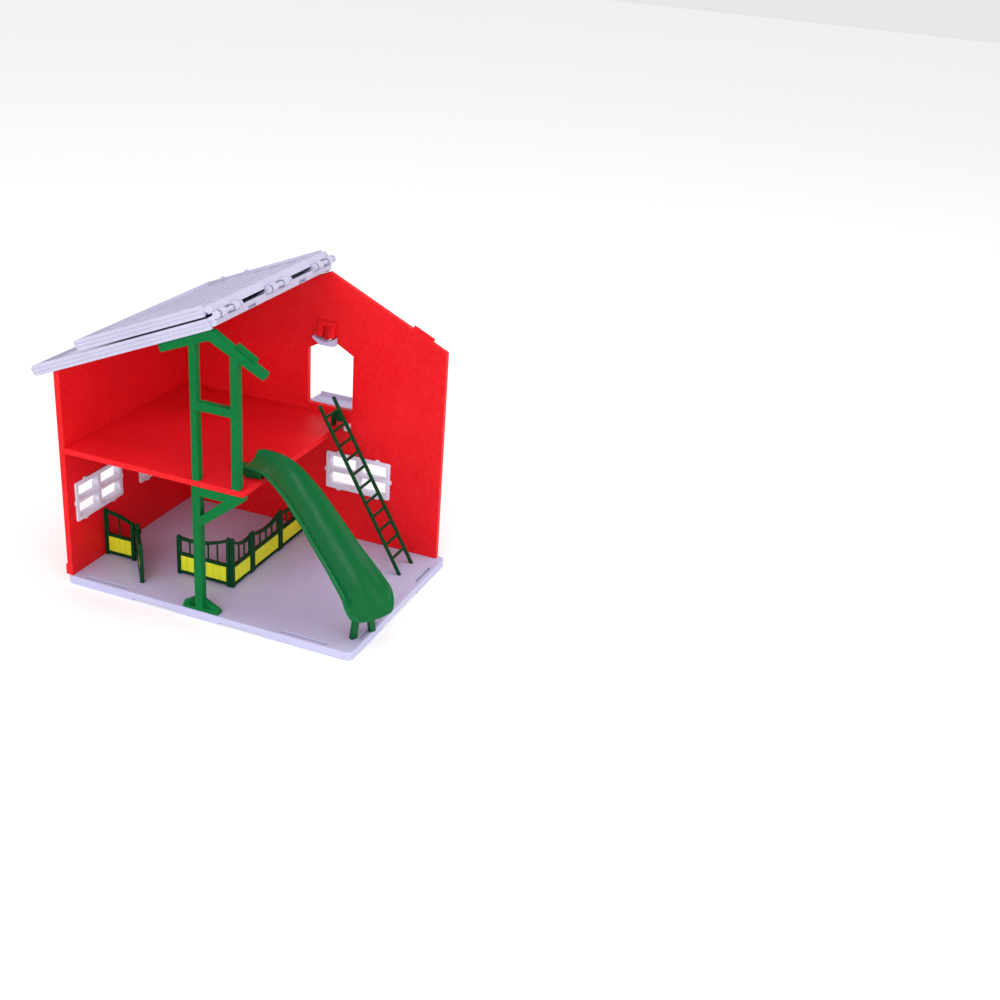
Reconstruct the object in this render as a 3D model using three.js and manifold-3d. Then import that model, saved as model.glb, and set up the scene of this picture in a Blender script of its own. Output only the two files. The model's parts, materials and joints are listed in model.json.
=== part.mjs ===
// Open doll-house style toy barn: base, two walls, loft, fold-over roof, slide, ladder and stalls.
// Millimetres, +Z up. X runs along the open front, left to right, and Y runs from the front to the back.
// The origin is on the floor under the middle of the base.
import * as THREE from "three";
import { mergeVertices } from "three/addons/utils/BufferGeometryUtils.js";
import Module from "manifold-3d";

// Driving sizes of the barn
const barnWidth = 200;
const barnDepth = 139;
const wallThickness = 4;
const ridgeRight = 15;
const ridgeHeight = 193.4;
const leftEaveHeight = 144.6;
const rightEaveHeight = 154.2;
const fitGap = 0.3;
const cutOverrun = 2;
const roundSides = 20;

// Base plate
const baseThickness = 5.7;
const baseDeck = 2.4;
const baseSkirt = 2.2;
const baseRib = 1.6;
const baseSideMargin = 0;
const baseFrontMargin = 0.8;
const baseRightMargin = 5;
const baseCorner = 4;
const baseColumns = 6;
const baseRows = 4;
const footNotchHeight = 1.4;
const slotWidth = 1.6;
const slotInset = 3.6;
const pegHole = { left: 34, inset: 3.4, radius: 0.9 };

// Starts and ends along the base's sides, as shares of the barn's width in front and its depth at the right
const frontNotchShares = [
  [-0.25, -0.0925],
  [0.0675, 0.225],
];
const rightNotchShares = [-0.18, 0.18];
const frontSlotShares = [
  [-0.433, -0.282],
  [0.279, 0.436],
];
const rightSlotShares = [
  [-0.374, -0.217],
  [0.217, 0.374],
];

// Plinth along the outside of the left wall
const plinth = { height: 7.2, out: 1.2 };

// Window inserts
const windowWidth = 48.4;
const windowHeight = 27.2;
const windowMiddle = 54.8;
const windowFlange = 1.2;
const windowFrame = 3;
const windowLap = 1.5;
const windowPost = 3.2;
const windowBar = 2.4;
const windowTab = { width: 3.2, reach: 1.1, thickness: 0.7 };
const windowTabShares = [-0.3, 0.3];
const leftWindowShares = [-0.2755, 0.21];
const gableWindow = 39.4;

// Loft floor
const loftHeight = 95.3;
const loftThickness = 3.8;
const loftRight = 31.4;
const loftSkin = 1.8;
const loftRim = 2.4;
const loftRib = 1.4;
const loftColumns = 4;
const loftRows = 4;
const loftClip = { width: 3.6, reach: 4, height: 4.6, past: 1.6 };

// Loft opening in the gable wall and the flap outside it: the sill is measured from the loft, and the
// shoulder and the apex from the sill
const hatchSize = { left: 0, width: 33.4, sill: 4.9, shoulder: 39, apex: 48.2 };
const hatchLength = 12;
const hatchThickness = 1.5;
const hatchLap = 1;
const hatchRim = { thickness: 1.4, height: 2.6, sideHeight: 1.1, start: 3.4 };
const hatchBarrel = 1.5;
const hatchPin = 0.9;
const hatchPinLength = 2.2;
const hatchLug = { width: 2.6, radius: 2, webHalf: 1.7 };
const hatchStandOff = 1.9;

// Hoist bracket above the loft opening
const bracket = { left: 8.3, width: 12.5, height: 10, above: 12, leg: 3.8, bar: 3 };
const bracketReach = { foot: 5.2, top: 1.6 };
const hoistShoe = { left: 9, right: 7.2, foot: 3.8, dip: 3, drop: 5.2, lift: 1.6 };

// Roof halves: how far they reach past the wall tops, down the slopes, and the thickness of their boards
const roofOverhang = 1.5;
const roofEave = { left: 14.07426, right: 6.39637 };
const roofThickness = 6.7;
const roofSkin = 1.8;
const roofRim = 2.4;
const roofRecess = 2.5;
const roofRib = { height: 1, width: 1.1, pitch: 13, start: 6 };
const roofTile = { count: 14, height: 0.6, groove: 1.1 };
const roofEaveRound = 2.6;
const roofEdge = { groove: 0.4, width: 0.6, leftBack: 2, rightBack: 3.3, under: 1.2, over: 0.7 };
const foldGap = 1.1;
const ridgeSlot = { length: 9, height: 1.6, low: 3.4 };
const ridgeSlotShares = [-0.2195, 0.2122];
const slotBoss = { length: 3, height: 0.8 };

// Heights of the grooves along the roof's edge boards, as shares of the board
const edgeGrooveShares = [0.28, 0.62];

// Roof hinges
const hingePin = 1.3;
const hingeRing = 2.9;
const hingeSpan = 26;
const hingeShares = [-0.4065, 0, 0.4065];
const hingeEar = { width: 1.8, root: 4.8 };
const hingeHook = 5;
const hingeHookShares = [-0.27, 0.27];
const hingeArm = { reach: 9, low: 1 };
const hingeMouthDegrees = 70;
const hingeRunning = 0.5;

// Locating tabs on the right-hand slope: one inside the gable's right end, one to the right of the ridge
const slopeTab = { height: 3, thickness: 1.5, clearance: 0.5, inset: 0.5 };
const gableTab = { inset: 10.4, length: 14.6 };
const trussTab = { start: 11.2, length: 12.8 };

// Green front frame above the loft
const frameDepth = 5;
const trussApex = { left: 3.2, innerLeft: 5.3, depth: 6.8 };
const trussLeft = { reach: 39.5, end: 4.9 };
const trussRight = { reach: 32.2, drop: 21.3, end: 4.6 };
const trussPost = { left: -3.8, leftWidth: 4.6, right: 23.4, rightWidth: 5.2 };
const trussBar = { low: 140.9, high: 146.3 };

// Green post below the loft
const post = { from: -4.4, to: 1.2 };
const postBracket = { reach: 30.2, tip: 2.7, drop: 26.4, bar: 6, window: 15.8, windowDrop: 13.3 };
const postFoot = { left: 8.8, right: 10.8, plate: 2.4, toe: 3.9, rise: 9, web: 2.4 };

// Slide: its rims start behind the front and above the loft, swing to the front, and end past the right
// side of the walls, above the base
const slideStart = { x: 18.7, inset: 32.2, rise: 8.2 };
const slideExit = { past: 11.4, rise: 25.3 };
const slideSwing = 18.3;
const slideTopWidth = 29.9;
const slideExitWidth = 35.1;
const slideDepth = 10.4;
const slideSkin = 1.3;
const slideRim = { out: 1.2, band: 1.5 };
const slideLip = 2.6;
const slideCorner = 8;
const slideSteps = 30;
const slideCornerSteps = 8;

// Places of the slide's middle line: shares of the run, the swing to the front and the fall
const slidePathShares = [
  [0, 0.148, 0],
  [0.153, 0, 0.047],
  [0.309, 0, 0.188],
  [0.464, 0.082, 0.388],
  [0.617, 0.224, 0.597],
  [0.768, 0.421, 0.775],
  [0.908, 0.716, 0.913],
  [1, 1, 1],
];
// Depth of the channel at those places, as shares of its full depth
const slideDepthShares = [0.31, 0.43, 0.86, 1, 1, 0.97, 0.91, 0.87];

// Stand under the slide's top end, and its tongue and peg on the loft
const slideStand = { wall: 1.4, inset: 0.4, sink: 0.6 };
const slideStandSteps = 5;
const slideStandShare = 0.1;
const slideTongue = { left: 5, inset: 28.1, half: 7, corner: 5, height: 1.4 };
const slidePeg = { x: 11.5, radius: 1.6, length: 3.6, clearance: 0.4 };
const slideLeg = { depth: 3, leg: 4.4, topHalf: 6.4, footHalf: 9.5, bar: 2, drop: 7.5 };
const slideLegShare = 0.835;

// Ladder
const ladderInset = 23.1;
const ladderWidth = 21.4;
const ladderRail = 1.25;
const ladderRung = 1;
const ladderFootInset = 12;
const ladderTop = { inset: 5, rise: 18.9 };
const ladderRungs = 11;
const ladderEnds = 8;
const ladderRungPhaseShare = 0.15;
const ladderHook = { over: 4.4, toe: 2, low: 4, high: 6, top: 11.5, foot: 3.6 };

// Stall fence
const stallInset = 35.5;
const stallSide = 1;
const stallThickness = 2.4;
const stallPost = 2.6;
const stallRail = 1.9;
const stallBar = 1;
const stallLow = 1;
const stallMiddle = 14;
const stallHigh = 32.6;
const stallCornerTop = 34.4;
const stallSideTop = 28.5;
const stallLowTop = 27.2;
const stallKnob = 1.25;
const stallSag = 3.2;
const stallArch = 1.2;
const stallInfill = 1.3;
const stallBarPitch = 7.4;
const stallPlankPitch = 4.6;
const stallGroove = { width: 0.5, depth: 0.25 };
const stallDoor = { start: 27, width: 32.9 };
const stallSideShares = [0.239, 0.603];
const gateAngleDegrees = -51;
const gateStile = 1.3;
const gateRing = { radius: 2.5, height: 2.2, clearance: 0.3 };
const gateRingShares = [0.206, 0.787];
const gateFoot = { radius: 1.5, lift: 0.3 };

// Places worked out from the driving sizes
const leftFace = -barnWidth / 2;
const rightFace = barnWidth / 2;
const frontFace = -barnDepth / 2;
const backFace = barnDepth / 2;
const innerLeft = leftFace + wallThickness;
const innerBack = backFace - wallThickness;
const leftRun = ridgeRight - leftFace;
const rightRun = rightFace - ridgeRight;
const leftPitch = Math.atan2(ridgeHeight - leftEaveHeight, leftRun);
const rightPitch = Math.atan2(ridgeHeight - rightEaveHeight, rightRun);
const roofLeftLength = leftRun / Math.cos(leftPitch) + roofEave.left;
const roofRightLength = rightRun / Math.cos(rightPitch) + roofEave.right;
const gableTabTo = rightFace - gableTab.inset;
const gableTabEnds = { from: gableTabTo - gableTab.length, to: gableTabTo };
const trussTabFrom = ridgeRight + trussTab.start;
const trussTabEnds = { from: trussTabFrom, to: trussTabFrom + trussTab.length };
const slideTop = loftHeight + slideStart.rise;
const slideStartY = frontFace + slideStart.inset;
const slideTongueY = frontFace + slideTongue.inset;
const slideRun = rightFace + slideExit.past - slideStart.x;
const slideFall = slideTop - baseThickness - slideExit.rise;
const ladderMiddle = innerBack - ladderInset;
const ladderFoot = rightFace - ladderFootInset;
const ladderHead = { x: loftRight - ladderTop.inset, z: loftHeight + ladderTop.rise };
const stallFront = frontFace + stallInset;
const stallDoorFrom = leftFace + stallDoor.start;
const stallDoorTo = stallDoorFrom + stallDoor.width;
const gateAngle = THREE.MathUtils.degToRad(gateAngleDegrees);
const hatchSill = loftHeight + hatchSize.sill;
const hatchOpening = {
  left: hatchSize.left,
  right: hatchSize.left + hatchSize.width,
  sill: hatchSill,
  shoulder: hatchSill + hatchSize.shoulder,
  apex: hatchSill + hatchSize.apex,
};
const leftWindowPlaces = leftWindowShares.map((share) => share * barnDepth);
const hingePlaces = hingeShares.map((share) => share * barnDepth);

// Colours of the moulded plastics
const plastic = (color, roughness) => new THREE.MeshStandardMaterial({ color, roughness, metalness: 0 });
const redPlastic = plastic(0xd8161f, 0.38);
const lavenderPlastic = plastic(0xbdb4d6, 0.42);
const roofPlastic = plastic(0xd3d3e6, 0.4);
const windowPlastic = plastic(0xe6dff0, 0.4);
const framePlastic = plastic(0x088544, 0.36);
const slidePlastic = plastic(0x0c6e38, 0.34);
const fencePlastic = plastic(0x0b4f28, 0.4);
const infillPlastic = plastic(0xe3e822, 0.45);

const wasm = await Module();
wasm.setup();

// A closed three.js geometry as a solid that can be joined and cut
function asSolid(geometry) {
  const plain = geometry.clone();
  plain.deleteAttribute("normal");
  plain.deleteAttribute("uv");
  const merged = mergeVertices(plain, 1e-4);
  return new wasm.Manifold(
    new wasm.Mesh({
      numProp: 3,
      vertProperties: new Float32Array(merged.attributes.position.array),
      triVerts: new Uint32Array(merged.index.array),
    }),
  );
}

// A solid as a geometry with flat shading
function asGeometry(solid) {
  const mesh = solid.getMesh();
  const positions = new Float32Array(mesh.numVert * 3);
  for (let i = 0; i < mesh.numVert; i++) {
    const start = i * mesh.numProp;
    positions.set(mesh.vertProperties.subarray(start, start + 3), i * 3);
  }
  const geometry = new THREE.BufferGeometry();
  geometry.setAttribute("position", new THREE.BufferAttribute(positions, 3));
  geometry.setIndex(new THREE.BufferAttribute(new Uint32Array(mesh.triVerts), 1));
  const flat = geometry.toNonIndexed();
  flat.computeVertexNormals();
  return flat;
}

const join = (solids) => solids.reduce((whole, solid) => whole.add(solid));
const cut = (solid, cutters) => cutters.reduce((rest, cutter) => rest.subtract(cutter), solid);

// The solid of a unit geometry whose every point is moved to its place
function moved(geometry, place) {
  const points = geometry.attributes.position;
  for (let i = 0; i < points.count; i++) {
    points.setXYZ(i, ...place(points.getX(i), points.getY(i), points.getZ(i)));
  }
  return asSolid(geometry);
}

// A box between two corners
function boxBetween(x0, x1, y0, y1, z0, z1) {
  const place = (x, y, z) => [x < 0 ? x0 : x1, y < 0 ? y0 : y1, z < 0 ? z0 : z1];
  return moved(new THREE.BoxGeometry(1, 1, 1), place);
}

// A closed outline from a list of [a, b] points
const outline = (points) => new THREE.Shape(points.map(([a, b]) => new THREE.Vector2(a, b)));

const extruded = (shape) =>
  new THREE.ExtrudeGeometry(shape, { depth: 1, bevelEnabled: false, curveSegments: roundSides / 4 });

// An outline drawn in X and Z, as a plate between two Y places
function plateXZ(shape, y0, y1) {
  return moved(extruded(shape), (a, b, c) => [a, c > 0 ? y0 : y1, b]);
}

// An outline drawn in Y and Z, as a plate between two X places
function plateYZ(shape, x0, x1) {
  return moved(extruded(shape), (a, b, c) => [c > 0 ? x1 : x0, a, b]);
}

// An outline drawn in X and Y, as a plate between two heights
function plateXY(shape, z0, z1) {
  return moved(extruded(shape), (a, b, c) => [a, b, c > 0 ? z1 : z0]);
}

// A circle as an even polygon around a centre
function disc(a, b, radius, sides = roundSides) {
  const points = [];
  for (let i = 0; i < sides; i++) {
    const angle = ((i + 1 / 2) * Math.PI * 2) / sides;
    points.push([a + radius * Math.cos(angle), b + radius * Math.sin(angle)]);
  }
  return outline(points);
}

// A round bar between two points
function barBetween(start, end, radius, sides = roundSides) {
  const from = new THREE.Vector3(...start);
  const to = new THREE.Vector3(...end);
  const along = to.clone().sub(from);
  const geometry = new THREE.CylinderGeometry(radius, radius, along.length(), sides);
  const turn = new THREE.Quaternion().setFromUnitVectors(
    new THREE.Vector3(0, 1, 0),
    along.clone().normalize(),
  );
  geometry.applyQuaternion(turn);
  geometry.translate(...from.add(to).divideScalar(2).toArray());
  return asSolid(geometry);
}

function ball(centre, radius) {
  const geometry = new THREE.SphereGeometry(radius, roundSides / 2, roundSides / 4);
  geometry.translate(...centre);
  return asSolid(geometry);
}

function roundedRectangle(x0, x1, y0, y1, radius) {
  const shape = new THREE.Shape();
  shape.moveTo(x0 + radius, y0);
  shape.lineTo(x1 - radius, y0);
  shape.absarc(x1 - radius, y0 + radius, radius, -Math.PI / 2, 0);
  shape.lineTo(x1, y1 - radius);
  shape.absarc(x1 - radius, y1 - radius, radius, 0, Math.PI / 2);
  shape.lineTo(x0 + radius, y1);
  shape.absarc(x0 + radius, y1 - radius, radius, Math.PI / 2, Math.PI);
  shape.lineTo(x0, y0 + radius);
  shape.absarc(x0 + radius, y0 + radius, radius, Math.PI, Math.PI * 1.5);
  return shape;
}

const barn = new THREE.Group();

function addPiece(name, solid, material, parent = barn) {
  const mesh = new THREE.Mesh(asGeometry(solid), material);
  mesh.name = name;
  parent.add(mesh);
  return mesh;
}

// Height of the wall tops at a place across the barn
function slopeHeight(x) {
  const run = Math.abs(x - ridgeRight);
  return ridgeHeight - run * Math.tan(x < ridgeRight ? leftPitch : rightPitch);
}

// Pockets that leave a rim and a lattice of ribs
function pockets({ x0, x1, y0, y1, z0, z1, columns, rows, rib }) {
  const cellX = (x1 - x0 - rib * (columns - 1)) / columns;
  const cellY = (y1 - y0 - rib * (rows - 1)) / rows;
  const cells = [];
  for (let i = 0; i < columns; i++) {
    for (let j = 0; j < rows; j++) {
      const left = x0 + i * (cellX + rib);
      const front = y0 + j * (cellY + rib);
      cells.push(boxBetween(left, left + cellX, front, front + cellY, z0, z1));
    }
  }
  return cells;
}

function basePlate() {
  const x0 = leftFace - baseSideMargin;
  const x1 = rightFace + baseRightMargin;
  const y0 = frontFace - baseFrontMargin;
  const y1 = backFace + baseFrontMargin;
  const slab = plateXY(roundedRectangle(x0, x1, y0, y1, baseCorner), 0, baseThickness);
  const cutters = pockets({
    x0: x0 + baseSkirt,
    x1: x1 - baseSkirt,
    y0: y0 + baseSkirt,
    y1: y1 - baseSkirt,
    z0: -cutOverrun,
    z1: baseThickness - baseDeck,
    columns: baseColumns,
    rows: baseRows,
    rib: baseRib,
  });
  for (const [from, to] of frontNotchShares) {
    for (const [near, far] of [
      [y0 - cutOverrun, y0 + baseSkirt],
      [y1 - baseSkirt, y1 + cutOverrun],
    ]) {
      cutters.push(boxBetween(from * barnWidth, to * barnWidth, near, far, -cutOverrun, footNotchHeight));
    }
  }
  const [notchFrom, notchTo] = rightNotchShares.map((share) => share * barnDepth);
  cutters.push(boxBetween(x1 - baseSkirt, x1 + cutOverrun, notchFrom, notchTo, -cutOverrun, footNotchHeight));
  const deckFloor = baseThickness - baseDeck - cutOverrun;
  const deckRoof = baseThickness + cutOverrun;
  const half = slotWidth / 2;
  for (const [from, to] of frontSlotShares) {
    const middle = y0 + slotInset;
    cutters.push(
      boxBetween(from * barnWidth, to * barnWidth, middle - half, middle + half, deckFloor, deckRoof),
    );
  }
  for (const [from, to] of rightSlotShares) {
    const middle = x1 - slotInset;
    cutters.push(
      boxBetween(middle - half, middle + half, from * barnDepth, to * barnDepth, deckFloor, deckRoof),
    );
  }
  const holeY = y0 + pegHole.inset;
  cutters.push(plateXY(disc(-pegHole.left, holeY, pegHole.radius), deckFloor, deckRoof));
  return cut(slab, cutters);
}

// A four-pane insert, drawn in its own plane: across, up and out of the wall's inner face
function windowInsert() {
  const halfWidth = windowWidth / 2;
  const halfHeight = windowHeight / 2;
  const plug = windowLap + fitGap;
  const flange = plateXZ(
    roundedRectangle(-halfWidth, halfWidth, -halfHeight, halfHeight, windowLap),
    -windowFlange,
    0,
  );
  const body = boxBetween(
    -halfWidth + plug,
    halfWidth - plug,
    -windowFlange / 2,
    wallThickness,
    -halfHeight + plug,
    halfHeight - plug,
  );
  const tabs = [];
  const tabHalf = windowTab.width / 2;
  const tabFront = -(windowFlange + windowTab.thickness) / 2;
  const tabBack = tabFront + windowTab.thickness;
  for (const share of windowTabShares) {
    const middle = share * windowWidth;
    const reach = halfHeight + windowTab.reach;
    tabs.push(boxBetween(middle - tabHalf, middle + tabHalf, tabFront, tabBack, -reach, reach));
  }
  const sideReach = halfWidth + windowTab.reach;
  tabs.push(boxBetween(-sideReach, sideReach, tabFront, tabBack, -tabHalf, tabHalf));
  const paneWidth = halfWidth - windowFrame - windowPost / 2;
  const paneHeight = halfHeight - windowFrame - windowBar / 2;
  const panes = [];
  for (const sideX of [-1, 1]) {
    for (const sideZ of [-1, 1]) {
      const nearX = (sideX * windowPost) / 2;
      const farX = nearX + sideX * paneWidth;
      const nearZ = (sideZ * windowBar) / 2;
      const farZ = nearZ + sideZ * paneHeight;
      panes.push(
        boxBetween(
          Math.min(nearX, farX),
          Math.max(nearX, farX),
          -windowFlange - cutOverrun,
          wallThickness + cutOverrun,
          Math.min(nearZ, farZ),
          Math.max(nearZ, farZ),
        ),
      );
    }
  }
  return cut(join([flange, body, ...tabs]), panes);
}

function leftWall() {
  const wall = plateXZ(
    outline([
      [leftFace, baseThickness],
      [innerLeft, baseThickness],
      [innerLeft, slopeHeight(innerLeft)],
      [leftFace, slopeHeight(leftFace)],
    ]),
    frontFace,
    innerBack,
  );
  const halfWidth = windowWidth / 2 - windowLap;
  const halfHeight = windowHeight / 2 - windowLap;
  const openings = leftWindowPlaces.map((middle) =>
    boxBetween(
      leftFace - cutOverrun,
      innerLeft + cutOverrun,
      middle - halfWidth,
      middle + halfWidth,
      windowMiddle - halfHeight,
      windowMiddle + halfHeight,
    ),
  );
  const foot = boxBetween(
    leftFace - plinth.out,
    innerLeft,
    frontFace,
    innerBack,
    baseThickness,
    baseThickness + plinth.height,
  );
  return cut(wall.add(foot), openings);
}

// The raised strips on the right-hand slope stand in the middle of these places
const gableTabMiddle = backFace + roofOverhang - roofRim - 2 * slopeTab.clearance - slopeTab.thickness / 2;
const trussTabMiddle = frontFace + frameDepth - slopeTab.inset - slopeTab.thickness / 2;

// A strip that stands square on a sloping edge between two places across the barn
function slopeStrip({ from, to }, edgeHeight, middle) {
  const pitch = Math.atan2(edgeHeight(from) - edgeHeight(to), to - from);
  const corner = (x, rise) => [x + rise * Math.sin(pitch), edgeHeight(x) + rise * Math.cos(pitch)];
  return plateXZ(
    outline([
      corner(from, -slopeTab.inset),
      corner(to, -slopeTab.inset),
      corner(to, slopeTab.height),
      corner(from, slopeTab.height),
    ]),
    middle - slopeTab.thickness / 2,
    middle + slopeTab.thickness / 2,
  );
}

const hatchAxis = {
  y: backFace + hatchStandOff,
  z: hatchOpening.sill - hatchBarrel + hatchThickness / 4,
};

function gableWall() {
  const wall = plateXZ(
    outline([
      [leftFace, baseThickness],
      [rightFace, baseThickness],
      [rightFace, slopeHeight(rightFace)],
      [ridgeRight, ridgeHeight],
      [leftFace, slopeHeight(leftFace)],
    ]),
    innerBack,
    backFace,
  );
  const opening = plateXZ(
    outline([
      [hatchOpening.left, hatchOpening.sill],
      [hatchOpening.right, hatchOpening.sill],
      [hatchOpening.right, hatchOpening.shoulder],
      [(hatchOpening.left + hatchOpening.right) / 2, hatchOpening.apex],
      [hatchOpening.left, hatchOpening.shoulder],
    ]),
    innerBack - cutOverrun,
    backFace + cutOverrun,
  );
  const halfWidth = windowWidth / 2 - windowLap;
  const halfHeight = windowHeight / 2 - windowLap;
  const windowHole = boxBetween(
    gableWindow - halfWidth,
    gableWindow + halfWidth,
    innerBack - cutOverrun,
    backFace + cutOverrun,
    windowMiddle - halfHeight,
    windowMiddle + halfHeight,
  );
  const tab = slopeStrip(gableTabEnds, slopeHeight, gableTabMiddle);
  return cut(join([wall, tab, ...hatchLugs()]), [opening, windowHole, hatchBore()]);
}

// Round ears outside the sill that carry the loft door's pins
function hatchLugs() {
  const outer = hatchLap + fitGap;
  return [hatchOpening.left - outer - hatchLug.width, hatchOpening.right + outer].map((x) => {
    const eye = plateYZ(disc(hatchAxis.y, hatchAxis.z, hatchLug.radius), x, x + hatchLug.width);
    const web = boxBetween(
      x,
      x + hatchLug.width,
      backFace - slopeTab.inset,
      hatchAxis.y,
      hatchAxis.z - hatchLug.webHalf,
      hatchAxis.z + hatchLug.webHalf,
    );
    return eye.add(web);
  });
}

function hatchBore() {
  const reach = hatchLap + fitGap + hatchLug.width + cutOverrun;
  const shape = disc(hatchAxis.y, hatchAxis.z, hatchPin + fitGap);
  return plateYZ(shape, hatchOpening.left - reach, hatchOpening.right + reach);
}

function hatchDoor() {
  const left = hatchOpening.left - hatchLap;
  const right = hatchOpening.right + hatchLap;
  const top = hatchOpening.sill;
  const bottom = top - hatchThickness;
  const farY = hatchAxis.y + hatchLength;
  const plate = boxBetween(left, right, hatchAxis.y, farY, bottom, top);
  const barrel = plateYZ(disc(hatchAxis.y, hatchAxis.z, hatchBarrel), left, right);
  const pins = plateYZ(
    disc(hatchAxis.y, hatchAxis.z, hatchPin),
    left - hatchPinLength,
    right + hatchPinLength,
  );
  const rimLeft = hatchOpening.left + hatchLap;
  const rimRight = hatchOpening.right - hatchLap;
  const farRim = boxBetween(
    rimLeft,
    rimRight,
    farY - hatchRim.thickness,
    farY,
    bottom,
    top + hatchRim.height,
  );
  const sides = [rimLeft, rimRight - hatchRim.thickness].map((x) =>
    boxBetween(
      x,
      x + hatchRim.thickness,
      hatchAxis.y + hatchRim.start,
      farY - hatchRim.thickness / 2,
      bottom + hatchThickness / 2,
      top + hatchRim.sideHeight,
    ),
  );
  return join([plate, barrel, pins, farRim, ...sides]);
}

function loftFloor() {
  const bottom = loftHeight - loftThickness;
  const slab = boxBetween(innerLeft, loftRight, frontFace, innerBack, bottom, loftHeight);
  const cells = pockets({
    x0: innerLeft + loftRim,
    x1: loftRight - loftRim,
    y0: frontFace + frameDepth + loftRim,
    y1: innerBack - loftRim,
    z0: bottom - cutOverrun,
    z1: loftHeight - loftSkin,
    columns: loftColumns,
    rows: loftRows,
    rib: loftRib,
  });
  const hole = plateXY(
    disc(slidePeg.x, slideTongueY, slidePeg.radius + slidePeg.clearance),
    bottom,
    loftHeight + cutOverrun,
  );
  return cut(slab, [...cells, hole]);
}

function cornerClip() {
  const right = loftRight + loftClip.past;
  const top = loftHeight - loftThickness;
  return boxBetween(
    right - loftClip.width,
    right,
    innerBack - loftClip.reach,
    innerBack,
    top - loftClip.height,
    top,
  );
}

// The red staple that holds the hoist above the loft opening, deeper at its foot than at its top
const bracketTop = hatchOpening.apex + bracket.above;
const bracketBottom = bracketTop - bracket.height;

function hoistBracket() {
  const left = bracket.left;
  const right = left + bracket.width;
  const block = plateYZ(
    outline([
      [innerBack - bracketReach.foot, bracketBottom],
      [innerBack, bracketBottom],
      [innerBack, bracketTop],
      [innerBack - bracketReach.top, bracketTop],
    ]),
    left,
    right,
  );
  const window = boxBetween(
    left + bracket.leg,
    right - bracket.leg,
    innerBack - bracketReach.foot - cutOverrun,
    innerBack + cutOverrun,
    bracketBottom - cutOverrun,
    bracketTop - bracket.bar,
  );
  return cut(block, [window]);
}

// The lavender shoe under the bracket, with its dipped top edge
function hoistShoePiece() {
  const middle = bracket.left + bracket.width / 2;
  const top = bracketBottom - fitGap;
  const bottom = top - hoistShoe.drop;
  const shape = outline([
    [middle - hoistShoe.left, top],
    [middle - hoistShoe.left, top - hoistShoe.lift],
    [middle - hoistShoe.foot, bottom],
    [middle + hoistShoe.right, bottom],
    [middle + hoistShoe.right, top],
    [middle, top - hoistShoe.dip],
  ]);
  return plateXZ(shape, innerBack - bracketReach.foot, innerBack);
}

// Roof halves are drawn with X down the slope from the ridge, Y along the ridge and Z out of the slope
const hingeOut = fitGap + roofThickness + foldGap / 2;
const hingeAlong = -hingeOut * Math.tan((leftPitch + rightPitch) / 2);
const ridgeLean = Math.tan((leftPitch + rightPitch) / 2);

function ridgeStart(out) {
  return fitGap - out * ridgeLean;
}

// A board with a rim all round, tiled on the outer side and ribbed along the ridge on the inner side
function roofPanel(length, edgeBack) {
  const low = fitGap;
  const high = low + roofThickness;
  const skinLow = low + roofRecess;
  const skinHigh = skinLow + roofSkin;
  const y0 = frontFace - roofOverhang;
  const y1 = backFace + roofOverhang;
  const profile = new THREE.Shape();
  profile.moveTo(ridgeStart(low), low);
  profile.lineTo(length - roofEaveRound, low);
  profile.absarc(length - roofEaveRound, low + roofEaveRound, roofEaveRound, -Math.PI / 2, 0);
  profile.lineTo(length, high - roofEaveRound);
  profile.absarc(length - roofEaveRound, high - roofEaveRound, roofEaveRound, 0, Math.PI / 2);
  profile.lineTo(ridgeStart(high), high);
  const eave = length - 2 * roofRim;
  const front = y0 + roofRim;
  const back = y1 - roofRim;
  const tileTop = skinHigh + roofTile.height;
  const ribTop = skinLow - roofRib.height;
  const cutters = [
    boxBetween(roofRim, eave, front, back, tileTop, high + cutOverrun),
    boxBetween(roofRim, eave, front, back, low - cutOverrun, ribTop),
  ];
  const tilePitch = (back - front) / roofTile.count;
  for (let i = 1; i < roofTile.count; i++) {
    const y = front + i * tilePitch;
    const half = roofTile.groove / 2;
    cutters.push(
      boxBetween(roofRim + roofTile.groove, eave - roofTile.groove, y - half, y + half, skinHigh, high),
    );
  }
  const bays = Math.round((eave - roofRib.start) / roofRib.pitch);
  const bay = (eave - roofRib.start) / bays;
  for (let i = 0; i < bays; i++) {
    const start = roofRib.start + i * bay + roofRib.width / 2;
    const end = start + bay - roofRib.width;
    cutters.push(boxBetween(start, end, front + roofRib.width, back - roofRib.width, low, skinLow));
  }
  return cut(plateXZ(profile, y0, y1), [...cutters, ...roofEdgeCuts(length, edgeBack)]);
}

// Grooves along the edge boards, their ends set back from the ridge, and the lower rim between those ends
function roofEdgeCuts(length, edgeBack) {
  const low = fitGap;
  const high = low + roofThickness;
  const ridgeEnd = ridgeStart(high) - cutOverrun;
  const cutters = [];
  for (const side of [-1, 1]) {
    const face = side < 0 ? frontFace - roofOverhang : backFace + roofOverhang;
    const inside = face - side * roofRim;
    const groove = face - side * roofEdge.groove;
    const outside = face + side * cutOverrun;
    for (const share of edgeGrooveShares) {
      const z = low + share * roofThickness;
      const [near, far] = side < 0 ? [outside, groove] : [groove, outside];
      cutters.push(boxBetween(ridgeEnd, length + cutOverrun, near, far, z, z + roofEdge.width));
    }
    const [near, far] = side < 0 ? [outside, inside] : [inside, outside];
    cutters.push(boxBetween(ridgeEnd, ridgeStart(0) + edgeBack, near, far, -cutOverrun, high + cutOverrun));
  }
  const front = frontFace - roofOverhang + roofRim;
  const back = backFace + roofOverhang - roofRim;
  cutters.push(boxBetween(ridgeEnd, roofRim, front, back, -cutOverrun, low + roofEdge.under));
  cutters.push(boxBetween(ridgeEnd, roofRim, front, back, high - roofEdge.over, high + cutOverrun));
  return cutters;
}

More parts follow.
